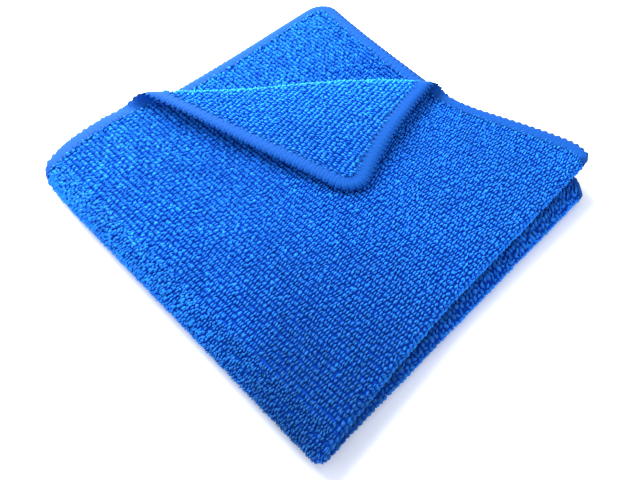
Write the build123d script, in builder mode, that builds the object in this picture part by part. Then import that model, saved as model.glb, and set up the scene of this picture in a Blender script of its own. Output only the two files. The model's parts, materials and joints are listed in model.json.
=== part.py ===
from build123d import *
from math import asin, cos, degrees, pi, radians, sin, sqrt
import os

# A square terry-knit polishing cloth, folded in quarters, with its edge overlocked in three threads.
# It lies as a stack of four layers. The first fold makes the two side folds, on the -Y side. The second
# fold makes the back fold, on the -X side, where the outer bend goes round the inner one. The free edges
# are on the +X and +Y sides. The top layer's free corner is turned back over the top layer.
# +Z is up, and the origin is in the middle of the stack's footprint, on the surface it lies on.

# The cloth as it is cut and sewn
cloth_length = 300.0  # across the back fold, along X once folded
cloth_width = 300.0  # across the side folds, along Y once folded
cloth_thickness = 2.5  # ground knit with the pile on both faces
corner_radius = 8.5  # round of the cloth's own corners
edging_width = 5.6  # reach of the overlock stitch from the edge
edging_thickness = 2.4  # over the threads, which hold the pile flat
hem_thickness = 1.3  # knit squeezed inside the edging
thread_wrap = 0.55  # threads round the outside of the edge
needle_line_width = 0.5  # row of needle stitches along the edging's inner side

# The way it is folded
layer_gap = 0.2  # free space between two layers
edge_bow = 8.0  # how far the +X edges pull in at their middle
lift_angle = 0.6  # the upper pair of layers stands off the lower pair by this angle
turn_along_back = 32.0  # turn line's start on the +Y edge, from the back fold
turn_along_side = 57.0  # turn line's end on the +X edge, from the side fold
roll_radius = 3.5  # middle of the cloth in the turned corner's soft roll
tip_clearance = 0.3  # free space between the turned corner's tip and the top layer

# Stack
pitch = cloth_thickness + layer_gap
mid_height = 2 * cloth_thickness + 1.5 * layer_gap
side_bend_radius = pitch / 2
inner_bend_radius = pitch / 2
outer_bend_radius = 3 * pitch / 2
half_turn = 180.0
back_turn = half_turn - lift_angle

# Flat reach of each layer: half the cloth less half of the bend that it runs into
flat_x = cloth_length / 2 - radians(back_turn) * outer_bend_radius / 2
flat_y = cloth_width / 2 - radians(half_turn) * side_bend_radius / 2
overall_x = outer_bend_radius + cloth_thickness / 2 + flat_x
overall_y = side_bend_radius + cloth_thickness / 2 + flat_y
fold_x = overall_x / 2 - flat_x
fold_y = overall_y / 2 - flat_y
edge_y = overall_y / 2

# Frames of the two pairs of layers: the same point on the back fold's axis, and the upper one lifted
lower_frame = Plane(origin=(fold_x, 0, mid_height))
upper_frame = lower_frame.rotated((0, -lift_angle, 0))

# The +X edge is an arc of a large circle that pulls in by edge_bow
half_edge = (edge_y - fold_y) / 2
middle_y = (edge_y + fold_y) / 2
bow_radius = (half_edge**2 + edge_bow**2) / (2 * edge_bow)
bow_centre_x = flat_x - edge_bow + bow_radius


def right_edge_x(y, inset):
    """How far a layer reaches along X at a given Y, less the inset."""
    return bow_centre_x - sqrt((bow_radius + inset) ** 2 - (y - middle_y) ** 2)


# Turn line of the free corner: where the top layer starts to roll up
turn_start = Vector(turn_along_back, edge_y)
turn_end_y = fold_y + turn_along_side
turn_end = Vector(right_edge_x(turn_end_y, 0), turn_end_y)
turn_length = (turn_end - turn_start).length
along = (turn_end - turn_start).normalized()
across = Vector(-along.Y, along.X)
corner_point = Vector(flat_x, edge_y)
corner_reach = (corner_point - turn_start).dot(across)

# The turned corner slopes down from its roll until its tip all but touches the top layer
flap_reach = corner_reach - pi * roll_radius
tip_drop = 2 * roll_radius - cloth_thickness - tip_clearance
slope_angle = degrees(asin(tip_drop / flap_reach))
corner_turn = half_turn + slope_angle
roll_length = radians(corner_turn) * roll_radius

# What crosses the cloth, as (nearest and furthest distance from the edge, lowest and highest level).
# Levels are from the middle of the cloth, positive towards its face.
whole = None  # no furthest distance: the solid goes on to the fold
hem_level = hem_thickness / 2
edge_level = edging_thickness / 2
stitch_width = edging_width - needle_line_width
cloth_bands = [
    (edging_width, whole, -cloth_thickness / 2, cloth_thickness / 2),
    (thread_wrap, edging_width, -hem_level, hem_level),
]
face_looper_bands = [
    (0, stitch_width, hem_level, edge_level),
    (0, thread_wrap, 0, hem_level),
]
reverse_looper_bands = [(near, far, -high, -low) for near, far, low, high in face_looper_bands]
needle_bands = [
    (stitch_width, edging_width, hem_level, edge_level),
    (stitch_width, edging_width, -edge_level, -hem_level),
]
thread_bands = {
    "face_looper_thread": face_looper_bands,
    "reverse_looper_thread": reverse_looper_bands,
    "needle_thread": needle_bands,
}


def place(frame, origin, x_dir, z_dir):
    """A plane that is given in a frame's own coordinates."""
    return Plane(frame.location * Plane(origin=origin, x_dir=x_dir, z_dir=z_dir).location)


def outline(inset, cut=None, keep=Keep.BOTTOM):
    """A layer's outline: straight at the folds and the +Y edge, bowed at the +X edge."""
    top_y = edge_y - inset
    with BuildSketch() as sheet:
        with BuildLine():
            bottom_right = (right_edge_x(fold_y, inset), fold_y)
            middle_right = (right_edge_x(middle_y, inset), middle_y)
            top_right = (right_edge_x(top_y, inset), top_y)
            ThreePointArc(bottom_right, middle_right, top_right)
            Polyline(top_right, (0, top_y), (0, fold_y), bottom_right)
        make_face()
        free_corner = sheet.vertices().sort_by_distance((flat_x, edge_y))[0]
        fillet(free_corner, radius=corner_radius - inset)
        if cut is not None:
            split(bisect_by=cut, keep=keep)
    return sheet.sketch


def layer(frame, level, face, bands, cut=None, keep=Keep.BOTTOM):
    """Flat bands of one layer. face is +1 where the cloth's face looks up, and -1 where it looks down."""
    with BuildPart() as piece:
        for near, far, low, high in bands:
            bottom = level + min(face * low, face * high)
            with BuildSketch(frame.offset(bottom)):
                add(outline(near, cut, keep))
                if far is not whole:
                    add(outline(far, cut, keep), mode=Mode.SUBTRACT)
            extrude(amount=high - low)
    return piece.part


def ring(plane, inner, outer, start, turn):
    """Section through a bend: part of a ring, from the start angle round by turn."""
    with BuildSketch(plane) as section:
        with BuildLine():
            inside = CenterArc((0, 0), inner, start, turn)
            outside = CenterArc((0, 0), outer, start, turn)
            Line(inside @ 0, outside @ 0)
            Line(inside @ 1, outside @ 1)
        make_face()
    return section.sketch


def side_fold(frame, side, bands):
    """The bend between two layers on the -Y side. Its outside is the cloth's face."""
    with BuildPart() as piece:
        for near, far, low, high in bands:
            start = 0 if far is whole else right_edge_x(fold_y, far)
            end = right_edge_x(fold_y, near)
            origin = (start, fold_y, side * pitch)
            section_plane = place(frame, origin, (0, 1, 0), (1, 0, 0))
            section = ring(section_plane, side_bend_radius + low, side_bend_radius + high, 90, half_turn)
            extrude(section, amount=end - start)
    return piece.part


def back_fold(radius, face, bands):
    """A bend round the back fold's axis. face is +1 where its outside is the cloth's face."""
    with BuildPart() as piece:
        for near, far, low, high in bands:
            start = fold_y if far is whole else edge_y - far
            end = edge_y - near
            section_plane = place(lower_frame, (0, end, 0), (1, 0, 0), (0, -1, 0))
            inner = radius + min(face * low, face * high)
            section = ring(section_plane, inner, inner + high - low, 90 + lift_angle, back_turn)
            extrude(section, amount=end - start)
    return piece.part


def roll_between(inset, inner, outer):
    """The turned corner's roll, cut at both ends by the slanting planes that the cloth's edges make."""
    top_level = upper_frame.offset(3 * pitch / 2)
    start = turn_start - along * roll_length
    section_plane = place(top_level, start + Vector(0, 0, roll_radius), across, along)
    rise = Vector(0, 0, 2 * roll_radius)
    # The edges' directions where the turn line meets them, towards the corner
    left_edge = Vector(1, 0)
    from_centre = turn_end - Vector(bow_centre_x, middle_y)
    right_edge = Vector(from_centre.Y, -from_centre.X).normalized()
    with BuildPart() as piece:
        extrude(ring(section_plane, inner, outer, -90, corner_turn), amount=turn_length + 2 * roll_length)
        for point, edge, inward, keep in (
            (turn_start, left_edge, 1, Keep.TOP),
            (turn_end, right_edge, -1, Keep.BOTTOM),
        ):
            shift = inward * inset / abs(edge.cross(along).Z)
            lean = along * (roll_length * edge.dot(along) / edge.dot(across)) + rise
            end_plane = place(top_level, point + along * shift, across, across.cross(lean))
            split(bisect_by=end_plane, keep=keep)
    return piece.part


def roll_band(near, far, low, high):
    """One band of the roll, between two distances from the cloth's edges."""
    with BuildPart() as band:
        add(roll_between(near, roll_radius - high, roll_radius - low))
        if far is not whole:
            add(roll_between(far, roll_radius - high, roll_radius - low), mode=Mode.SUBTRACT)
    return band.part


def corner_roll(bands):
    """The soft roll that the corner is turned over. Its outside is the cloth's reverse."""
    with BuildPart() as piece:
        for band in bands:
            add(roll_band(*band))
    return piece.part


def centre_fold():
    """The doubly folded middle of the cloth, where the side folds run on round the back fold."""
    section_plane = place(lower_frame, (0, fold_y, -pitch), (0, 1, 0), (1, 0, 0))
    inner = side_bend_radius - cloth_thickness / 2
    section = ring(section_plane, inner, inner + cloth_thickness, 90, half_turn)
    with BuildPart() as piece:
        revolve(section, axis=Axis(lower_frame.origin, (0, 1, 0)), revolution_arc=back_turn)
    return piece.part


# The plane of the turned corner, in which its outline is drawn just as if it still lay flat
up = Vector(0, 0, 1)
top_level = upper_frame.offset(3 * pitch / 2)
turn = radians(corner_turn)
flap_direction = across * cos(turn) + up * sin(turn)
roll_end = turn_start + across * (roll_radius * sin(turn)) + up * (roll_radius * (1 - cos(turn)))
back_across = flap_direction * (turn_start.dot(across) + roll_length)
back_along = along * turn_start.dot(along)
corner_level = place(
    top_level,
    roll_end - back_across - back_along,
    flap_direction * across.X + along * along.X,
    up * cos(turn) - across * sin(turn),
)
kept_side = {"cut": Plane(origin=turn_start, z_dir=across), "keep": Keep.BOTTOM}
turned_side = {"cut": Plane(origin=turn_start + across * roll_length, z_dir=across), "keep": Keep.TOP}

# Every stretch of the cloth, by the body that it moves with
outer_level = 3 * pitch / 2
inner_level = pitch / 2
stretches = {
    "lower_pair": {
        "bottom_layer": lambda bands: layer(lower_frame, -outer_level, -1, bands),
        "third_layer": lambda bands: layer(lower_frame, -inner_level, 1, bands),
        "lower_side_fold": lambda bands: side_fold(lower_frame, -1, bands),
    },
    "upper_pair": {
        "second_layer": lambda bands: layer(upper_frame, inner_level, -1, bands),
        "top_layer": lambda bands: layer(upper_frame, outer_level, 1, bands, **kept_side),
        "upper_side_fold": lambda bands: side_fold(upper_frame, 1, bands),
    },
    "back_fold": {
        "outer_back_fold": lambda bands: back_fold(outer_bend_radius, 1, bands),
        "inner_back_fold": lambda bands: back_fold(inner_bend_radius, -1, bands),
    },
    "corner_roll": {
        "corner_roll_cloth": corner_roll,
    },
    "turned_corner": {
        "turned_corner_cloth": lambda bands: layer(corner_level, 0, 1, bands, **turned_side),
    },
}

os.makedirs("parts", exist_ok=True)


def write(part, name):
    """Labels a finished piece and writes it."""
    part.label = name
    export_step(part, f"parts/{name}.step")


for body, pieces in stretches.items():
    for name, stretch in pieces.items():
        with BuildPart() as cloth:
            add(stretch(cloth_bands))
        write(cloth.part, name)
    for thread, bands in thread_bands.items():
        with BuildPart() as run:
            for stretch in pieces.values():
                add(stretch(bands))
        write(run.part, f"{body}_{thread}")

with BuildPart() as centre:
    add(centre_fold())
write(centre.part, "centre_fold")


def bend_hinges(turn, radius):
    """Where two equal hinges stand in for a bend: how far out and up each is from the bend's middle.

    Each hinge takes half of the turn. They stand at a quarter and three quarters of the way round, as
    far from the middle as leaves the opened layers a bend's length apart.
    """
    quarter = radians(turn) / 4
    reach = radians(turn) * radius / (4 * sin(quarter))
    return [(reach * sin(part * quarter), -reach * cos(part * quarter)) for part in (1, 3)]


# The joints' places in the model, for the bends at the back and at the turned corner
mean_back_radius = (outer_bend_radius + inner_bend_radius) / 2
for out, rise in bend_hinges(back_turn, mean_back_radius):
    print("back fold hinge at", lower_frame.from_local_coords(Vector(-out, 0, rise)), "about -Y")
for out, rise in bend_hinges(corner_turn, roll_radius):
    hinge = top_level.from_local_coords(turn_start + across * out + up * (roll_radius + rise))
    direction = top_level.from_local_coords(-along) - top_level.origin
    print("turned corner hinge at", hinge, "about", direction)
print("turn of each back fold hinge", back_turn / 2, "and of each corner hinge", corner_turn / 2)
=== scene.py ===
import math

import bpy
import numpy as np
from mathutils import Matrix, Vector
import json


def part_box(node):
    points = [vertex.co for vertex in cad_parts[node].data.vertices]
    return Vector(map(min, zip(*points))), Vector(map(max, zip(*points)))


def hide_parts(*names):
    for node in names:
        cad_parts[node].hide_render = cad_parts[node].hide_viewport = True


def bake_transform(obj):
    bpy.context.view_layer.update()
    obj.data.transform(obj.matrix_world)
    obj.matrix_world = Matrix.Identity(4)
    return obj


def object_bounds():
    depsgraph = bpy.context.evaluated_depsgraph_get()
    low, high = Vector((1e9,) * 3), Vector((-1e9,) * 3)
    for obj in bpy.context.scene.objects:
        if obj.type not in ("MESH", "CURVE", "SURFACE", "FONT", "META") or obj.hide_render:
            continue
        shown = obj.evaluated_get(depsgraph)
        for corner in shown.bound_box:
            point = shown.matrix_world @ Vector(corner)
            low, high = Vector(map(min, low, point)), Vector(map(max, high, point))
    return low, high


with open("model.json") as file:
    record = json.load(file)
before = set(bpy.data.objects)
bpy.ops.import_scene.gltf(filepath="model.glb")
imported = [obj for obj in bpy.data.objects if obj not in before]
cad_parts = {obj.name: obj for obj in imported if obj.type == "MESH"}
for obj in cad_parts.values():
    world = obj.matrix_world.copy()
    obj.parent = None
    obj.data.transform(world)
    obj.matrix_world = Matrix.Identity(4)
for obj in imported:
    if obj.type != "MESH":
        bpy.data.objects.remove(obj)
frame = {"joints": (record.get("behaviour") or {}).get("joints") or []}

cad_low, cad_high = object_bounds()

# The viewpoint: over the near corner of the folded cloth, where the two folds meet, looking down across
# the stack to its free corner.
camera = bpy.data.objects.new("camera", bpy.data.cameras.new("camera"))
camera.data.sensor_width = 36.0
camera.data.lens = 33.4
camera.location = (cad_low.x - 0.0306, cad_low.y - 0.0255, 0.1779)
camera_heading = math.radians(-46.7)
camera_tilt = math.radians(33.6)
camera_cant = math.radians(1.76)
camera_turn = Matrix.Rotation(camera_heading, 3, "Z") @ Matrix.Rotation(camera_tilt, 3, "X")
camera.rotation_euler = (camera_turn @ Matrix.Rotation(camera_cant, 3, "Z")).to_euler()
bpy.context.scene.collection.objects.link(camera)
bpy.context.scene.camera = camera


# The table is a smooth white laminate sheet, lit from beyond the cloth by one wide soft box and by a pale
# room all round. It isn't part of the object.
def linear(hex_colour):
    """sRGB hex to linear: (c + 0.055) / 1.055 to the power 2.4, or c / 12.92 in the darkest part."""
    parts = [int(hex_colour[i : i + 2], 16) / 255 for i in (1, 3, 5)]
    return (*[((c + 0.055) / 1.055) ** 2.4 if c > 0.04045 else c / 12.92 for c in parts], 1.0)


def add_node(tree, kind, settings=(), values=(), links=()):
    """Adds a node with its settings, its sockets' values and the outputs that feed its sockets."""
    made = tree.nodes.new(kind)
    for name, value in dict(settings).items():
        setattr(made, name, value)
    for name, value in dict(values).items():
        made.inputs[name].default_value = value
    for name, source in dict(links).items():
        tree.links.new(source, made.inputs[name])
    return made


def finish_named(name):
    """An empty material, with the node tree that its finish is built in."""
    made = bpy.data.materials.new(name)
    made.use_nodes = True
    made.node_tree.nodes.clear()
    return made, made.node_tree


# Laminate: pale and nearly matt, so it takes soft shadows and hardly any reflection
laminate, tree = finish_named("white_laminate")
shader = add_node(
    tree,
    "ShaderNodeBsdfPrincipled",
    values={"Base Color": linear("#F7F8FA"), "Roughness": 0.75, "Specular IOR Level": 0.2},
)
add_node(tree, "ShaderNodeOutputMaterial", links={"Surface": shader.outputs["BSDF"]})

table_reach = 2.5
table_corners = [(-table_reach, -table_reach), (table_reach, -table_reach)]
table_corners += [(table_reach, table_reach), (-table_reach, table_reach)]
table_mesh = bpy.data.meshes.new("table")
table_mesh.from_pydata([(x, y, cad_low.z) for x, y in table_corners], [], [(0, 1, 2, 3)])
table_mesh.materials.append(laminate)
table = bpy.data.objects.new("table", table_mesh)
bpy.context.scene.collection.objects.link(table)

room = bpy.data.worlds.new("pale_room")
room.use_nodes = True
room.node_tree.nodes["Background"].inputs["Color"].default_value = linear("#EEF3FF")
room.node_tree.nodes["Background"].inputs["Strength"].default_value = 1.16
bpy.context.scene.world = room
bpy.context.scene.view_settings.view_transform = "Standard"


def soft_box(name, place, width, power):
    """A square soft light that faces the middle of the stack."""
    light = bpy.data.lights.new(name, "AREA")
    light.size = width
    light.energy = power
    lamp = bpy.data.objects.new(name, light)
    lamp.location = place
    lamp.rotation_euler = (-lamp.location).to_track_quat("-Z", "Y").to_euler()
    bpy.context.scene.collection.objects.link(lamp)


soft_box("window_light", (0.03, 0.24, 0.22), 0.3, 3.6)


# The way the cloth lies: one square of terry knit, folded across its middle twice. Each pair of layers
# runs round its side fold, both pairs run round the back fold, and the top layer's free corner is turned
# back over a soft roll. Every piece below is made through these functions, so they all meet.
bottom_low, bottom_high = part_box("bottom_layer")
cloth_thickness = bottom_high.z - bottom_low.z
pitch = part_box("third_layer")[0].z - bottom_low.z
fold_x = bottom_low.x
fold_y = bottom_low.y
fold_z = bottom_low.z + cloth_thickness / 2 + 1.5 * pitch
edge_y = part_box("lower_pair_face_looper_thread")[1].y
reach_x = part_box("lower_pair_face_looper_thread")[1].x - fold_x
side_bend = pitch / 2
side_quarter = math.pi * side_bend / 2
back_half_turn = math.radians(frame["joints"][0]["range_deg"][1])
lift = math.pi - 2 * back_half_turn

# The free edge: bowed in on +X, straight on +Y, and rounded at the corner between them
edge_bow = 0.008
corner_round = 0.0085
middle_y = (edge_y + fold_y) / 2
bow_radius = (((edge_y - fold_y) / 2) ** 2 + edge_bow**2) / (2 * edge_bow)
bow_x = reach_x - edge_bow + bow_radius
corner_y = edge_y - corner_round
corner_x = bow_x - math.sqrt((bow_radius + corner_round) ** 2 - (corner_y - middle_y) ** 2)

# The turned corner: the line it is turned over, and the roll there, whose end slopes down to the tip
turn_start = np.array([0.032, edge_y])
turn_end_y = fold_y + 0.057
turn_end = np.array([bow_x - math.sqrt(bow_radius**2 - (turn_end_y - middle_y) ** 2), turn_end_y])
turn_length = np.linalg.norm(turn_end - turn_start)
along = (turn_end - turn_start) / turn_length
across = np.array([-along[1], along[0]])
roll_radius = 0.0035
corner_reach = (np.array([reach_x, edge_y]) - turn_start) @ across
tip_drop = 2 * roll_radius - cloth_thickness - 0.0003
corner_turn = math.pi + math.asin(tip_drop / (corner_reach - math.pi * roll_radius))
roll_length = corner_turn * roll_radius
tip_reach = corner_reach - 0.0045
corner_creep = 0.13
corner_skew = 0.14
corner_crown = 0.0014


def side_of(q, h):
    """Section across a pair of layers: y, and the level off the pair's middle.

    q is the distance along the cloth from the middle of the side fold, positive towards the outer layer,
    and h is the height off the cloth's middle, positive towards its face. The section is half a circle of
    radius side_bend + h, and a straight line on from each of its ends.
    """
    bend = np.clip(q, -side_quarter, side_quarter) / side_bend
    straight = np.maximum(np.abs(q) - side_quarter, 0)
    y = fold_y + straight - (side_bend + h) * np.cos(bend)
    return y, (side_bend + h) * np.sin(bend)


def back_radius(q):
    """How far the middle of the cloth stands off the back fold's axis where it goes round it."""
    return pitch + side_of(q, 0.0)[1]


def past_turn_line(x, y):
    """Distance past the turn line, on the cloth laid flat. x is measured from the back fold."""
    return (x - turn_start[0]) * across[0] + (y - turn_start[1]) * across[1]


# How far the stack has settled, by the place on it
pressed_share = 0.19
pressed_reach = 0.060
side_spring = 0.0038
wave_height = 0.0004
slant_wave_height = 0.0003
wave_x, wave_y, slant_wave = 0.013, 0.017, 0.021
fold_width = 0.010
turn_end_width = 0.024
lower_side_draw = 0.0100
upper_side_release = 0.0085
turn_end_draw = 0.0065
upper_corner_draw = 0.0030
upper_corner_width = 0.005
lower_edge_spread = 0.0020
back_corner_draw = 0.0046
far_edge_draw = 0.0048
upper_side_set_back = 0.0043
back_bulge = 0.0016
back_bulge_start = 0.010
back_bulge_reach = 0.014
side_bulge = 0.0014
near_corner_bulge = 0.0006
side_bulge_reach = 0.002
table_gap = 0.00005


def relaxed(x, y, z):
    """How the stack has settled: small heights and shifts added to the folded shape.

    The stack is pressed thinner towards the turned corner, the upper pair springs up at its +X side fold,
    the folds bulge at the near corner, the edges draw in at the folds' free ends, and the layers wave.
    """
    out = np.clip((x - fold_x) / reach_x, 0, 1)
    side = np.clip((y - fold_y) / (edge_y - fold_y), 0, 1)
    pressed = np.clip(1 + past_turn_line(x - fold_x, y) / pressed_reach, 0, 1)
    pressed = pressed**2 * (3 - 2 * pressed)
    upper = np.clip((z - fold_z) / pitch + 0.5, 0, 1)
    top = np.clip((z - fold_z) / pitch - 0.5, 0, 1)
    wave = wave_height * np.sin(x / wave_x + 0.6) * np.sin(y / wave_y + 1.1)
    wave = (wave + slant_wave_height * np.sin((x - y) / slant_wave)) * z / (2 * fold_z)
    spring = upper * side_spring * out**1.6 * (1 - side) ** 3
    z = z * (1 - pressed_share * pressed * (1 - 0.8 * top)) + spring + wave
    by_back_fold = np.exp(-(((x - cad_low.x) / fold_width) ** 2))
    by_side_fold = np.exp(-(((y - cad_low.y) / fold_width) ** 2))
    by_upper_corner = np.exp(-(((y - cad_low.y) / upper_corner_width) ** 2))
    by_turn_end = np.exp(-(((y - turn_end_y) / turn_end_width) ** 2))
    beyond = np.clip((side - 0.3) / 0.2, 0, 1) * (1 - 0.6 * side**8) * (1 - top)
    drawn_x = (lower_side_draw - upper_side_release * upper) * by_side_fold * out**8
    drawn_x = drawn_x + turn_end_draw * top * by_turn_end * out**4
    drawn_x += upper_corner_draw * upper * out**8 * by_upper_corner
    drawn_x -= lower_edge_spread * out**4 * beyond
    drawn_y = back_corner_draw * by_back_fold * side**8
    drawn_y = drawn_y + far_edge_draw * side**4 * np.clip((out - 0.18) / 0.2, 0, 1)
    drawn_y -= upper_side_set_back * upper * (1 - side) * np.clip(out / 0.4, 0, 1) ** 0.8
    by_back = np.clip((fold_x + back_bulge_start - x) / back_bulge_reach, 0, 1)
    by_side = np.clip((fold_y - y) / side_bulge_reach, 0, 1)
    bulge_x = back_bulge * (1 - 1.1 * side**14) * by_back**2
    bulge_y = (side_bulge * out + near_corner_bulge * by_back_fold) * (1 - upper) * by_side
    z = np.maximum(z, cad_low.z + table_gap)
    return np.stack([x - drawn_x - bulge_x, y - drawn_y - bulge_y, z], axis=-1)



def lower_pair(x, q, h):
    """Bottom and third layers. x below zero goes down the back fold, to its middle."""
    y, level = side_of(q, h)
    bend = np.maximum(-x, 0) / back_radius(q)
    radius = pitch + level
    return relaxed(fold_x + np.maximum(x, 0) - radius * np.sin(bend), y, fold_z - radius * np.cos(bend))


def upper_pair(x, q, h):
    """Second and top layers, the top one with its corner turned. x below zero goes down the back fold.

    Past the turn line the cloth goes round a circle of roll - h, and then on down to the tip. The roll is
    slacker at its +Y end, and past it the cloth stands in a low crown and has skewed, as a knit does.
    """
    y, level = side_of(q, h)
    bend = lift + np.maximum(-x, 0) / back_radius(q)
    radius = pitch + level
    s = np.where(q > side_quarter, past_turn_line(x, y), -1.0)
    t = (x - turn_start[0]) * along[0] + (y - turn_start[1]) * along[1]
    roll = roll_radius * (1.12 - 0.12 * t / turn_length)
    turned = np.clip(s / roll, 0, corner_turn)
    past = s - roll * turned
    share = np.clip(past / (tip_reach - roll_length), 0, 1)
    reach = (roll - h) * np.sin(turned) + past * np.cos(turned) * (1 - corner_creep)
    rise = roll - h - (roll - h) * np.cos(turned) + past * np.sin(turned) - 2 * (roll - roll_radius) * share
    rise = rise + corner_crown * np.sin(math.pi * share) * (1.3 - t / turn_length)
    shift = np.where(s > 0, reach - s, 0)
    skew = np.where(s > 0, corner_skew * past, 0)
    x = x + shift * across[0] + skew * along[0]
    y = y + shift * across[1] + skew * along[1]
    radius = radius + np.where(s > 0, rise, 0)
    flat = np.maximum(x, 0)
    far = fold_x + flat * math.cos(lift) - radius * np.sin(bend)
    high = fold_z + flat * math.sin(lift) + radius * np.cos(bend)
    return relaxed(far, y, high)


def edge_gap(x, q):
    """Distance in from the free edge, at a point of any layer."""
    y = fold_y + np.abs(q) - side_quarter
    from_bow = np.hypot(x - bow_x, y - middle_y) - bow_radius
    from_round = corner_round - np.hypot(x - corner_x, y - corner_y)
    in_corner = (x > corner_x) & (y > corner_y)
    return np.where(in_corner, from_round, np.minimum(from_bow, edge_y - y))


def turn_gap(x, q):
    """Distance past the turn line, at a point of any layer."""
    return past_turn_line(x, fold_y + np.abs(q) - side_quarter)


# Each bend's two bodies, and the start and end of a smooth turn between them. They are worked out here but
# not given to any piece.
def bend_between(bodies, hinge_level, out, up, start, end):
    """A blend's start and end, measured from a bend's middle along the chord of its quarter turn."""
    chord = (out + up) / np.linalg.norm(out + up)
    return (*bodies, tuple(hinge_level + start * chord), tuple(hinge_level + end * chord))


toward_back = np.array([-1.0, 0.0, 0.0])
upward = np.array([0.0, 0.0, 1.0])
back_middle = np.array([fold_x, 0.0, fold_z])
on_lower = bend_between(("lower_pair", "back_fold"), back_middle, toward_back, upward, -0.0020, 0.00095)
on_upper = bend_between(("back_fold", "upper_pair"), back_middle, -toward_back, upward, -0.00095, 0.0020)
roll_out = np.array([across[0], across[1], 0.0])
turn_middle = turn_start + along * turn_length / 2
turn_middle_q = side_quarter + turn_middle[1] - fold_y
roll_middle = upper_pair(turn_middle[0], turn_middle_q, 0.0) + roll_radius * upward
on_turn = bend_between(("upper_pair", "corner_roll"), roll_middle, roll_out, upward, -0.003, 0.0019)
on_corner = bend_between(("corner_roll", "turned_corner"), roll_middle, -roll_out, upward, -0.0019, 0.003)


# The knit: the polyester and polyamide ground that the pile loops grow from, one panel cut 300 mm square.
# It is made in six stretches, each of which crosses one joint at most: the lower half, the second quarter,
# the outer back fold, the top quarter, the roll up to its middle, and the turned corner.
knit_thickness = 0.0011
knit_inset = 0.0005
layer_columns = 90
fold_columns = 12


def mesh_object(name, points, faces, finish):
    """A mesh from whole arrays of corners and of faces, turned so that its faces point outwards."""
    first, second, third = (points[faces[:, i]] for i in range(3))
    volume = np.einsum("ij,ij->i", first, np.cross(second, third)).sum()
    if faces.shape[1] == 4:
        fourth = points[faces[:, 3]]
        volume += np.einsum("ij,ij->i", first, np.cross(third, fourth)).sum()
    outward = faces if volume > 0 else faces[:, ::-1]
    made = bpy.data.meshes.new(name)
    made.vertices.add(len(points))
    made.vertices.foreach_set("co", points.astype(np.float32).ravel())
    made.loops.add(outward.size)
    made.loops.foreach_set("vertex_index", outward.astype(np.int32).ravel())
    made.polygons.add(len(outward))
    made.polygons.foreach_set("loop_start", np.arange(0, outward.size, outward.shape[1], dtype=np.int32))
    made.polygons.foreach_set("use_smooth", np.ones(len(outward), bool))
    made.update(calc_edges=True)
    made.validate()
    made.materials.append(finish)
    piece = bpy.data.objects.new(name, made)
    bpy.context.scene.collection.objects.link(piece)
    return piece, volume > 0


def shell(name, surface, x, q, half, finish):
    """A closed sheet on a grid: the surface at +half and at -half, and a rim round their border."""
    rows, columns = x.shape
    points = np.concatenate([surface(x, q, half).reshape(-1, 3), surface(x, q, -half).reshape(-1, 3)])
    index = np.arange(rows * columns).reshape(rows, columns)
    corners = [index[:-1, :-1], index[:-1, 1:], index[1:, 1:], index[1:, :-1]]
    top = np.stack([c.ravel() for c in corners], axis=1)
    border = np.concatenate([index[0, :-1], index[:-1, -1], index[-1, :0:-1], index[:0:-1, 0]])
    ahead = np.roll(border, -1)
    rim = np.stack([border, border + index.size, ahead + index.size, ahead], axis=1)
    faces = np.concatenate([top, top[:, ::-1] + index.size, rim])
    return mesh_object(name, points, faces, finish)[0]


def edge_x(y, inset):
    """How far a layer reaches along X: the bowed edge, and the rounded corner at its end."""
    bowed = bow_x - np.sqrt((bow_radius + inset) ** 2 - (y - middle_y) ** 2)
    lean = math.atan2(middle_y - corner_y, bow_x - corner_x)
    rounding = corner_round - inset
    rounded = corner_x + np.sqrt(np.maximum(rounding**2 - (y - corner_y) ** 2, 0))
    return np.where(y > corner_y + rounding * math.sin(lean), rounded, bowed)


def layer_rows():
    """Distances from the side fold of a layer's rows, closer together round the corner."""
    straight = np.linspace(0, corner_y - fold_y, 90)
    rounding = (corner_round - knit_inset) * np.sin(np.linspace(0, math.pi / 2, 12))[1:]
    return np.concatenate([straight, corner_y - fold_y + rounding])


def layer_grid(q, start, end):
    """A grid between two x for each row of q, as (x, q) arrays."""
    share = np.linspace(0, 1, layer_columns)
    return start[:, None] + (end - start)[:, None] * share, np.repeat(q[:, None], layer_columns, axis=1)


rows = layer_rows()
fold_rows = np.linspace(-side_quarter, side_quarter, 13)
lower_q = np.concatenate([-side_quarter - rows[:0:-1], fold_rows, side_quarter + rows[1:]])


def pair_grid(q):
    """A grid from the middle of the back fold to the free edge, with its own columns in the fold."""
    y = fold_y + np.maximum(np.abs(q) - side_quarter, 0)
    fold, q_fold = layer_grid(q, -back_radius(q) * back_half_turn, 0 * q)
    flat, q_flat = layer_grid(q, 0 * q, edge_x(y, knit_inset))
    keep = np.linspace(0, layer_columns - 2, fold_columns).astype(int)
    return np.hstack([fold[:, keep], flat]), np.hstack([q_fold[:, keep], q_flat])


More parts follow.
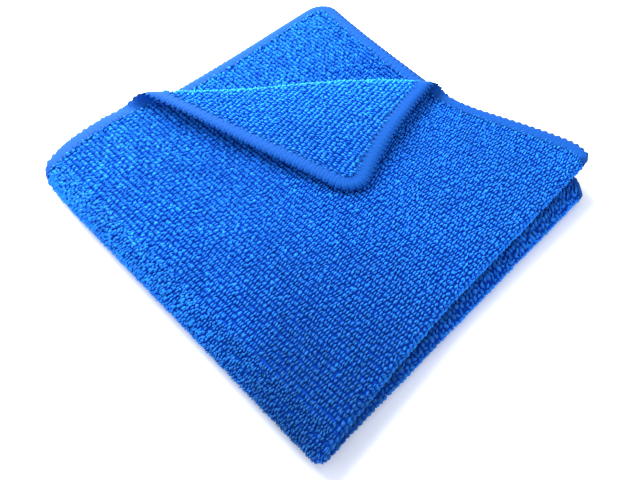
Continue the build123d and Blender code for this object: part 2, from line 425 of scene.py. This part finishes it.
def corner_grid(start, end, rows_across):
    """A grid between two distances past the turn line, from edge to edge, as (x, q) arrays."""
    s = start + (end - start) * np.sin(np.linspace(0, math.pi / 2, rows_across))
    from_start = turn_start + across * s[:, None]
    first = (from_start[:, 1] - (edge_y - knit_inset)) / -along[1]
    from_bow = from_start - np.array([bow_x, middle_y])
    lean = from_bow @ along
    last = -lean - np.sqrt(lean**2 - (from_bow**2).sum(1) + (bow_radius + knit_inset) ** 2)
    centre = np.array([corner_x, corner_y]) - turn_start
    chord = (corner_round - knit_inset) ** 2 - (s - centre @ across) ** 2
    half_chord = np.sqrt(np.maximum(chord, 0))
    to_bow = np.array([bow_x - corner_x, middle_y - corner_y])
    touch = centre + (corner_round - knit_inset) * to_bow / np.linalg.norm(to_bow)
    top_touch = centre + np.array([0, corner_round - knit_inset])
    first = np.where(s > top_touch @ across, centre @ along - half_chord, first)
    last = np.where(s > touch @ across, centre @ along + half_chord, last)
    t = first[:, None] + (last - first)[:, None] * np.linspace(0, 1, 80)
    x = turn_start[0] + across[0] * s[:, None] + along[0] * t
    y = turn_start[1] + across[1] * s[:, None] + along[1] * t
    return x, side_quarter + y - fold_y


# Knit ground: matt filament yarn in fine ribs, a deep blue where it shows between the loops
rib_pitch = 0.00183
knit_finish, tree = finish_named("knitted_microfibre_ground")
place = add_node(tree, "ShaderNodeTexCoord")
ribs = add_node(
    tree,
    "ShaderNodeTexWave",
    settings={"bands_direction": "X"},
    values={"Scale": 0.314 / rib_pitch, "Distortion": 1.5, "Detail": 2.0, "Detail Scale": 3.0},
    links={"Vector": place.outputs["Object"]},
)
tone = add_node(
    tree,
    "ShaderNodeMix",
    settings={"data_type": "RGBA"},
    links={"Factor": ribs.outputs["Fac"]},
)
tone.inputs["A"].default_value = linear("#023088")
tone.inputs["B"].default_value = linear("#043EA0")
relief = add_node(
    tree,
    "ShaderNodeBump",
    values={"Strength": 0.6, "Distance": 0.0004},
    links={"Height": ribs.outputs["Fac"]},
)
shader = add_node(
    tree,
    "ShaderNodeBsdfPrincipled",
    values={"Roughness": 0.95, "Specular IOR Level": 0.05},
    links={"Base Color": tone.outputs["Result"], "Normal": relief.outputs["Normal"]},
)
add_node(tree, "ShaderNodeOutputMaterial", links={"Surface": shader.outputs["BSDF"]})

half_knit = knit_thickness / 2
lower_knit = shell("lower_half_knit", lower_pair, *pair_grid(lower_q), half_knit, knit_finish)

second_q = np.concatenate([-side_quarter - rows[:0:-1], fold_rows])
second_x, second_grid_q = pair_grid(second_q)
second_knit = shell("second_quarter_knit", upper_pair, second_x, second_grid_q, half_knit, knit_finish)

top_q = side_quarter + rows
top_y = fold_y + rows
turn_x = turn_start[0] + (edge_y - top_y) * along[0] / -along[1]
top_x, top_grid_q = layer_grid(top_q, 0 * top_q, np.minimum(edge_x(top_y, knit_inset), turn_x))
top_knit = shell("top_quarter_knit", upper_pair, top_x, top_grid_q, half_knit, knit_finish)

outer_fold_q = side_quarter + rows
outer_fold_x, outer_grid_q = layer_grid(
    outer_fold_q, -back_radius(outer_fold_q) * back_half_turn, 0 * outer_fold_q
)
outer_knit = shell(
    "outer_back_fold_knit", upper_pair, outer_fold_x[:, ::8], outer_grid_q[:, ::8], half_knit, knit_finish
)
roll_grid = corner_grid(0.0, roll_length / 2, 14)
roll_knit = shell("corner_roll_knit", upper_pair, *roll_grid, half_knit, knit_finish)
corner_knit = shell(
    "turned_corner_knit", upper_pair, *corner_grid(roll_length / 2, tip_reach, 70), half_knit, knit_finish
)

for piece, joint, nodes in (
    (lower_knit, on_lower, ("bottom_layer", "third_layer", "lower_side_fold", "centre_fold")),
    (second_knit, on_upper, ("second_layer", "upper_side_fold", "inner_back_fold", "centre_fold")),
    (outer_knit, on_upper, ("outer_back_fold",)),
    (top_knit, on_turn, ("top_layer",)),
    (roll_knit, on_turn, ("corner_roll_cloth",)),
    (corner_knit, on_corner, ("turned_corner_cloth", "corner_roll_cloth")),
):
    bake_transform(piece)
    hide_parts(*nodes)


# The pile: loops of split polyester and polyamide filament, knitted into the ground in rows and left
# uncut, so they stand up as small soft arches across their row. Both faces of the cloth have it.
row_pitch = 0.00183
loop_pitch = 0.00103
loop_span = 0.00104
strand_radius = 0.00048
loop_height = 0.00098
pressed_height = 0.0007
edging_reach = 0.0047
row_jitter, seat_jitter = 0.00016, 0.00014
height_spread, width_spread, thickness_spread = 0.16, 0.10, 0.08
lean_over, lean_aside, twist = 0.20, 0.24, 0.18
# Paler tone along the side and back folds: partly the spread pile's own paler look, partly painted highlight
side_fold_spread_and_highlight = 1.3
back_fold_spread_and_highlight = 0.7
# Painted shade: the pile's colour is darkened round the near corner, where both folds meet
near_corner_painted_shade = 2.9
near_corner_width = 0.046

# One loop: five rings along the arch, each of three corners, and a face over each end
ring_angle = np.radians([-25.0, 35.0, 90.0, 145.0, 205.0])
ring_size = np.array([0.8, 1.0, 1.08, 1.0, 0.8])
spoke = np.radians([90.0, 210.0, 330.0])
ring, corner = np.meshgrid(np.arange(4), np.arange(3), indexing="ij")
next_corner = (corner + 1) % 3
this_ring, next_ring = 3 * ring, 3 * ring + 3
quad = np.stack([this_ring + corner, this_ring + next_corner, next_ring + next_corner, next_ring + corner])
quad = quad.reshape(4, -1).T
loop_faces = np.concatenate([quad[:, [0, 1, 2]], quad[:, [0, 2, 3]], [[0, 2, 1], [12, 13, 14]]])
quad_u = np.stack([ring, ring, ring + 1, ring + 1]).reshape(4, -1).T / 4
quad_v = np.stack([corner, corner + 1, corner + 1, corner]).reshape(4, -1).T / 3
cap_uv = np.array([[0.0, 0.0], [0.05, 0.5], [0.0, 1.0]])
tube_uv = np.stack([0.1 + 0.85 * quad_u, quad_v], axis=-1)
loop_uv = np.concatenate([tube_uv[:, [0, 1, 2]], tube_uv[:, [0, 2, 3]], [cap_uv, cap_uv]])


def pile(name, surface, x_range, q_range, keep, side, height, nodes, seed):
    """A piece of pile: one arch for each seat of a grid of rows that keep() leaves.

    An arch goes over from one side of its row to the other on half an ellipse, and dips into the ground
    at both ends. Each is turned, leant and sized a little by chance. Every second row and every second
    seat of a row stay empty, except round the folds, where the spread face is drawn with more loops.
    """
    chance = np.random.default_rng(seed)
    row = np.arange(math.floor(2 * x_range[0] / row_pitch), math.ceil(2 * x_range[1] / row_pitch))
    seat = np.arange(math.floor(2 * q_range[0] / loop_pitch), math.ceil(2 * q_range[1] / loop_pitch))
    row, seat = (a.ravel() for a in np.meshgrid(row, seat, indexing="ij"))
    x = (row + 0.5) * row_pitch / 2
    q = (seat + 0.5) * loop_pitch / 2
    round_side = (np.abs(q) < side_quarter) & (side > 0)
    round_back = (x < 0.002) & (side > 0) & (q > side_quarter)
    inside = (x > x_range[0]) & (x <= x_range[1]) & (q > q_range[0]) & (q <= q_range[1]) & keep(x, q)
    inside &= ((seat + row // 2) % 2 == 0) | round_side
    inside &= (row % 2 == 0) | round_back
    x, q, round_side, round_back = x[inside], q[inside], round_side[inside], round_back[inside]
    count = len(x)
    turn, lean_x, lean_q, size, grow = chance.normal(0, 1, (5, count, 1, 1))
    x = x + row_jitter * chance.normal(0, 1, count)
    q = q + seat_jitter * chance.normal(0, 1, count)
    gap = edge_gap(x, q)[:, None, None]
    by_edging = np.clip(0.85 + (gap - edging_reach) / 0.010, 0.85, 1)
    tall = height * (1 + height_spread * np.clip(grow, -2, 2)) * by_edging
    wide = loop_span / 2 * (1 + width_spread * size) * np.where(round_back, 0.3, 1.0)[:, None, None]
    thick = strand_radius * ring_size[:, None] * (1 + thickness_spread * size)
    angle = ring_angle[:, None]
    out = thick * np.sin(spoke)
    over = -wide * np.cos(angle) - out * np.cos(angle)
    rise = (tall - strand_radius) * np.sin(angle) + out * np.sin(angle)
    aside = thick * np.cos(spoke) * np.where(round_side, 0.6, 1.0)[:, None, None]
    over = over + lean_over * lean_x * np.maximum(rise, 0)
    aside = aside + lean_aside * lean_q * np.maximum(rise, 0)
    turn = twist * turn
    dx = over * np.cos(turn) - aside * np.sin(turn)
    dq = over * np.sin(turn) + aside * np.cos(turn)
    h = side * (half_knit + np.maximum(rise, -0.0003))
    points = surface(x[:, None, None] + dx, q[:, None, None] + dq, h).reshape(-1, 3)
    faces = (loop_faces[None] + 15 * np.arange(count)[:, None, None]).reshape(-1, 3)
    piece, kept_turn = mesh_object(name, points, faces, pile_finish)
    across_map = math.ceil(math.sqrt(count))
    cell = np.stack([np.arange(count) % across_map, np.arange(count) // across_map], axis=-1)
    uv = (cell[:, None, None] + 0.06 + 0.88 * loop_uv[None]) / across_map
    uv = uv if kept_turn else uv[:, :, ::-1]
    unwrapped = piece.data.uv_layers.new(name="OFBake")
    unwrapped.data.foreach_set("uv", uv.astype(np.float32).ravel())
    crown = np.broadcast_to(np.clip(rise / (tall + strand_radius * 0.3), 0, 1), rise.shape)
    # The tone by place: paler where the pile is spread round a fold and on the turned corner's crest, partly
    # the spread pile and partly painted highlight, and darker at the near corner, which is painted shade
    spread_and_painted_light = side_fold_spread_and_highlight * np.exp(-(((q - 0.0006) / 0.0014) ** 2))
    spread_and_painted_light = spread_and_painted_light + back_fold_spread_and_highlight * np.exp(-(((x + 0.005) / 0.002) ** 2))
    # Painted highlight: the turned corner's reverse is paler near the crest of its roll
    spread_and_painted_light += (side < 0) * (q > 0) * np.exp(-(((turn_gap(x, q) - 0.008) / 0.016) ** 2))
    # Painted shade: darker round the near corner
    spread_and_painted_light -= near_corner_painted_shade * np.exp(-((x / near_corner_width) ** 2) - (q / near_corner_width) ** 2)
    tone_and_painted_light = np.broadcast_to((chance.uniform(0, 1, count) + 1.3 * spread_and_painted_light)[:, None, None], rise.shape)
    for attribute, value in (("crown", crown), ("tone_and_painted_light", tone_and_painted_light)):
        stored = piece.data.attributes.new(attribute, "FLOAT", "POINT")
        stored.data.foreach_set("value", value.astype(np.float32).ravel())
    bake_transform(piece)
    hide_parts(*nodes)
    return piece


# Pile: bright blue and matt, with a pale blue sheen. Its colour is darker down each loop towards the gaps,
# which is painted shade, and the tone attribute adds painted highlight and painted shade by place
pile_finish, tree = finish_named("looped_microfibre_pile")
height_along = add_node(tree, "ShaderNodeAttribute", settings={"attribute_name": "crown"})
# The tone attribute: a random tone per loop, with painted highlight and painted shade added by place
loop_tone_and_painted_light = add_node(tree, "ShaderNodeAttribute", settings={"attribute_name": "tone_and_painted_light"})
place = add_node(tree, "ShaderNodeTexCoord")
# Shading of the nap in patches about 14 mm wide
nap = add_node(
    tree,
    "ShaderNodeTexNoise",
    values={"Scale": 1 / 0.014, "Detail": 3.0, "Roughness": 0.6},
    links={"Vector": place.outputs["Object"]},
)
# Filament is 0.01 mm thick, and is drawn as grain of 0.4 mm so that it shows
grain = add_node(
    tree,
    "ShaderNodeTexNoise",
    values={"Scale": 1 / 0.0004, "Detail": 2.0, "Roughness": 0.7},
    links={"Vector": place.outputs["Object"]},
)
# Painted shade: each loop runs from the deep root colour down in the gaps to the paler crown colour
painted_root_shade = add_node(
    tree, "ShaderNodeMix", settings={"data_type": "RGBA"}, links={"Factor": height_along.outputs["Fac"]}
)
painted_root_shade.inputs["A"].default_value = linear("#005CD6")
painted_root_shade.inputs["B"].default_value = linear("#1E98FF")
varied = add_node(
    tree,
    "ShaderNodeMath",
    settings={"operation": "MULTIPLY_ADD"},
    values={1: 0.30},
    links={0: loop_tone_and_painted_light.outputs["Fac"], 2: nap.outputs["Fac"]},
)
tone = add_node(
    tree,
    "ShaderNodeMapRange",
    values={"From Min": -0.3, "From Max": 1.2, "To Min": 0.42, "To Max": 1.34},
    links={"Value": varied.outputs["Value"]},
)
dyed = add_node(
    tree,
    "ShaderNodeVectorMath",
    settings={"operation": "SCALE"},
    links={0: painted_root_shade.outputs["Result"], "Scale": tone.outputs["Result"]},
)
fibres = add_node(
    tree,
    "ShaderNodeBump",
    values={"Strength": 0.5, "Distance": 0.0002},
    links={"Height": grain.outputs["Fac"]},
)
shader = add_node(
    tree,
    "ShaderNodeBsdfPrincipled",
    values={
        "Roughness": 0.8,
        "Specular IOR Level": 0.25,
        "Sheen Weight": 0.22,
        "Sheen Roughness": 0.45,
        "Sheen Tint": linear("#5FB8FF"),
    },
    links={"Base Color": dyed.outputs["Vector"], "Normal": fibres.outputs["Normal"]},
)
add_node(tree, "ShaderNodeOutputMaterial", links={"Surface": shader.outputs["BSDF"]})

outer_end = side_quarter + edge_y - fold_y
flat_middle = 0.072


def within(x, q):
    """Inside the edging, and not past the middle of the back fold."""
    return (edge_gap(x, q) > edging_reach) & (x > -back_radius(q) * back_half_turn)


def kept_down(x, q):
    """What stays down when the corner is turned, to the middle of the roll."""
    return within(x, q) & ((turn_gap(x, q) < roll_length / 2) | (q < side_quarter))


def turned_over(x, q):
    """What is past the middle of the roll."""
    return within(x, q) & (turn_gap(x, q) >= roll_length / 2)


def round_roll(x, q):
    """The outside of the roll, as far as its middle."""
    return within(x, q) & (turn_gap(x, q) > -0.004) & (turn_gap(x, q) < roll_length / 2)


def laid_bare(x, q):
    """What the turned corner shows of the second layer, and a little more."""
    return within(x, q) & (turn_gap(x, q) > -0.006)


back_end = -0.0075
near_half = (back_end, flat_middle)
far_half = (flat_middle, reach_x)
low_q = (-outer_end, -side_quarter)
high_q = (side_quarter, outer_end)
wrapped_q = (-side_quarter, outer_end)
under_q = (-outer_end, side_quarter)
for name, surface, x_range, q_range, keep, side, height, joint, nodes in (
    ("bottom_pile_near", lower_pair, near_half, wrapped_q, within, 1, pressed_height, on_lower,
     ("bottom_layer", "outer_back_fold")),
    ("bottom_pile_far", lower_pair, far_half, wrapped_q, within, 1, pressed_height, on_lower,
     ("bottom_layer", "lower_side_fold")),
    ("third_pile_near", lower_pair, near_half, low_q, within, 1, pressed_height, on_lower,
     ("third_layer", "inner_back_fold")),
    ("third_pile_far", lower_pair, far_half, low_q, within, 1, pressed_height, on_lower,
     ("third_layer",)),
    ("second_pile_near", upper_pair, near_half, under_q, within, 1, pressed_height, on_upper,
     ("second_layer", "inner_back_fold")),
    ("second_pile_far", upper_pair, far_half, under_q, within, 1, pressed_height, on_upper,
     ("second_layer", "upper_side_fold")),
    ("second_reverse_pile", upper_pair, (0.0, reach_x), low_q, laid_bare, -1, loop_height, on_upper,
     ("second_layer",)),
    ("back_fold_pile", upper_pair, (back_end, 0.0), high_q, within, 1, loop_height, on_upper,
     ("outer_back_fold",)),
    ("top_pile_near", upper_pair, (0.0, flat_middle), high_q, kept_down, 1, loop_height, on_turn,
     ("top_layer", "corner_roll_cloth")),
    ("top_pile_far", upper_pair, far_half, high_q, kept_down, 1, loop_height, on_turn,
     ("top_layer", "corner_roll_cloth")),
    ("corner_roll_pile", upper_pair, (0.0, reach_x), high_q, round_roll, -1, loop_height, on_turn,
     ("corner_roll_cloth",)),
    ("turned_corner_face_pile", upper_pair, (0.0, reach_x), high_q, turned_over, 1, loop_height, on_corner,
     ("turned_corner_cloth",)),
    ("turned_corner_reverse_pile", upper_pair, (0.0, reach_x), high_q, turned_over, -1, loop_height,
     on_corner, ("turned_corner_cloth",)),
):
    pile(name, surface, x_range, q_range, keep, side, height, nodes, sum(map(ord, name)))


# The edging: a three-thread overlock seam of textured polyester. Two looper threads zigzag from the edge
# to the needle line, one on each face, and cross at the edge in small knots. The needle thread holds both.
stitch = 0.0026
needle_line = 0.0052
looper_half_width = 0.00112
looper_half_height = 0.00019
needle_half_width = 0.0003
needle_half_height = 0.00026
hem_half = 0.00062
steps_per_stitch = 12


def edge_line():
    """The free edge from the middle of the side fold to the back fold: points and inward directions.

    It is a straight step over the fold, the bow's arc, the corner's arc and a straight run, sampled.
    """
    fold_angle = math.asin((fold_y - middle_y) / bow_radius)
    lean = math.atan2(middle_y - corner_y, bow_x - corner_x)
    end_angle = math.asin((corner_y + corner_round * math.sin(lean) - middle_y) / bow_radius)
    step = np.linspace(0, side_quarter, 6)[:-1]
    a = np.linspace(fold_angle, end_angle, 120)
    b = np.linspace(lean, math.pi / 2, 24)[1:]
    run = np.linspace(corner_x, -outer_fold_end, 120)[1:]
    x = [reach_x + 0 * step, bow_x - bow_radius * np.cos(a), corner_x + corner_round * np.cos(b), run]
    q = [step, side_quarter + middle_y - fold_y + bow_radius * np.sin(a)]
    q += [side_quarter + corner_y - fold_y + corner_round * np.sin(b), outer_end + 0 * run]
    in_x = [-np.cos(fold_angle) + 0 * step, -np.cos(a), -np.cos(b), 0 * run]
    in_q = [np.sin(fold_angle) * step / side_quarter, np.sin(a), -np.sin(b), -1 + 0 * run]
    return (np.concatenate(part) for part in (x, q, in_x, in_q))


outer_fold_end = back_radius(outer_end) * back_half_turn
inner_fold_end = back_radius(-outer_end) * back_half_turn
line_x, line_q, line_in_x, line_in_q = edge_line()
line_length = np.concatenate([[0], np.cumsum(np.hypot(np.diff(line_x), np.diff(line_q)))])
edge_length = line_length[-1]


def on_edge(length, inset):
    """x and q at a length along the edge, negative on the inner layer, and an inset from it."""
    x, q, in_x, in_q = (
        np.interp(np.abs(length), line_length, part) for part in (line_x, line_q, line_in_x, line_in_q)
    )
    return x + inset * in_x, np.sign(length + 1e-12) * (q + inset * in_q)


def thread(name, surface, start, end, route, half_width, half_height, finish, nodes):
    """A thread laid along the edge from one length to another: a flattened tube along route().

    route gives the length, inset and height of its centre line for each step. Each ring is an ellipse
    square to the line's direction on the cloth.
    """
    steps = max(int((end - start) / stitch * steps_per_stitch), 8)
    step = np.linspace(start, end, steps)
    length, inset, height = route(step)
    forward, inward = np.gradient(length), np.gradient(inset)
    size = np.hypot(forward, inward)
    turn = np.radians(np.arange(6) * 60.0)
    wide = half_width * np.cos(turn)
    high = half_height * np.sin(turn)
    ring_length = length[:, None] - wide * (inward / size)[:, None]
    ring_inset = inset[:, None] + wide * (forward / size)[:, None]
    points = surface(*on_edge(ring_length, ring_inset), height[:, None] + high).reshape(-1, 3)
    index = np.arange(steps * 6).reshape(steps, 6)
    beside = np.roll(index, -1, axis=1)
    corners = [index[:-1], beside[:-1], beside[1:], index[1:]]
    tube = np.stack([c.ravel() for c in corners], axis=1)
    ends = [index[0, [3, 2, 1, 0]], index[0, [0, 5, 4, 3]], index[-1, [0, 1, 2, 3]], index[-1, [3, 4, 5, 0]]]
    piece = mesh_object(name, points, np.concatenate([tube, ends]), finish)[0]
    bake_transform(piece)
    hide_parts(*nodes)
    return piece


def looper_route(side):
    """Zigzag between the edge and the needle line, which comes down to the cloth's middle at the edge."""
    def route(step):
        swing = np.cos(2 * math.pi * step / stitch)
        inset = needle_line / 2 - 0.0001 + (needle_line / 2 + 0.0001) * swing
        above = np.clip((inset + 0.0002) / 0.0016, 0, 1)
        height = side * (0.00012 + (hem_half + looper_half_height - 0.0001) * np.sin(above * math.pi / 2))
        return step + side * 0.00025 + 0.10 * inset, inset, height
    return route


def needle_route(side):
    """Stitch after stitch along the needle line, each dipping into the cloth at its two ends."""
    def route(step):
        arch = np.abs(np.sin(math.pi * step / stitch))
        return step, needle_line + 0.0002 + 0 * step, side * (0.0002 + (hem_half + 0.0004) * np.sqrt(arch))
    return route


# Looper thread: textured filament polyester, bulky and soft, so it is nearly matt and a deep even blue
thread_finish, tree = finish_named("textured_polyester_looper_thread")
place = add_node(tree, "ShaderNodeTexCoord")
# Filament is drawn as streaks 0.35 mm wide so that it shows
strands = add_node(
    tree,
    "ShaderNodeTexNoise",
    values={"Scale": 1 / 0.0007, "Detail": 3.0, "Roughness": 0.65},
    links={"Vector": place.outputs["Object"]},
)
tone = add_node(
    tree, "ShaderNodeMix", settings={"data_type": "RGBA"}, links={"Factor": strands.outputs["Fac"]}
)
tone.inputs["A"].default_value = linear("#04438C")
tone.inputs["B"].default_value = linear("#0651A8")
relief = add_node(
    tree,
    "ShaderNodeBump",
    values={"Strength": 0.5, "Distance": 0.0002},
    links={"Height": strands.outputs["Fac"]},
)
shader = add_node(
    tree,
    "ShaderNodeBsdfPrincipled",
    values={"Roughness": 0.7, "Specular IOR Level": 0.12},
    links={"Base Color": tone.outputs["Result"], "Normal": relief.outputs["Normal"]},
)
add_node(tree, "ShaderNodeOutputMaterial", links={"Surface": shader.outputs["BSDF"]})

# Needle thread: spun polyester, thinner and tighter, a shade deeper than the loopers
needle_finish = thread_finish.copy()
needle_finish.name = "spun_polyester_needle_thread"
deeper = needle_finish.node_tree.nodes["Mix"]
deeper.inputs["A"].default_value = linear("#033B7E")
deeper.inputs["B"].default_value = linear("#054A98")


def crossing(distance, low, high):
    """Length along the edge where the turn line's distance is passed, between two lengths."""
    length = np.linspace(low, high, 4000)
    gap = turn_gap(*on_edge(length, 0.0)) - distance
    return length[np.argmax(np.diff(np.sign(gap)) != 0)]


corner_length = line_length[np.argmax(turn_gap(line_x, line_q))]
turn_room = 0.007
first_turn = crossing(0.0, side_quarter, corner_length) - turn_room
last_turn = crossing(0.0, corner_length, edge_length) + turn_room
first_top = crossing(roll_length / 2, side_quarter, corner_length)
last_top = crossing(roll_length / 2, corner_length, edge_length)
inner_end = -(edge_length - outer_fold_end + inner_fold_end)

for kind, route_of, sides, half_width, half_height, finish, slot in (
    ("face_looper", looper_route, (1,), looper_half_width, looper_half_height, thread_finish,
     "looper_thread"),
    ("reverse_looper", looper_route, (-1,), looper_half_width, looper_half_height, thread_finish,
     "looper_thread"),
    ("needle", needle_route, (1, -1), needle_half_width, needle_half_height, needle_finish,
     "needle_thread"),
):
    for side in sides:
        look = kind if len(sides) == 1 else f"{kind}_{'face' if side > 0 else 'reverse'}"
        for name, surface, start, end, joint, bodies in (
            ("lower_pair", lower_pair, inner_end, edge_length, on_lower, ("lower_pair", "back_fold")),
            ("upper_pair", upper_pair, inner_end, first_turn, on_upper, ("upper_pair", "back_fold")),
            ("top_left_edge", upper_pair, last_turn, edge_length, on_upper, ("upper_pair", "back_fold")),
            ("first_turn", upper_pair, first_turn, first_top, on_turn, ("corner_roll",)),
            ("last_turn", upper_pair, last_top, last_turn, on_turn, ("corner_roll",)),
            ("turned_corner", upper_pair, first_top, last_top, on_corner, ("turned_corner", "corner_roll")),
        ):
            nodes = [f"{body}_{kind}_thread" for body in bodies]
            thread(f"{name}_{look}", surface, start, end, route_of(side), half_width, half_height, finish,
                   nodes)
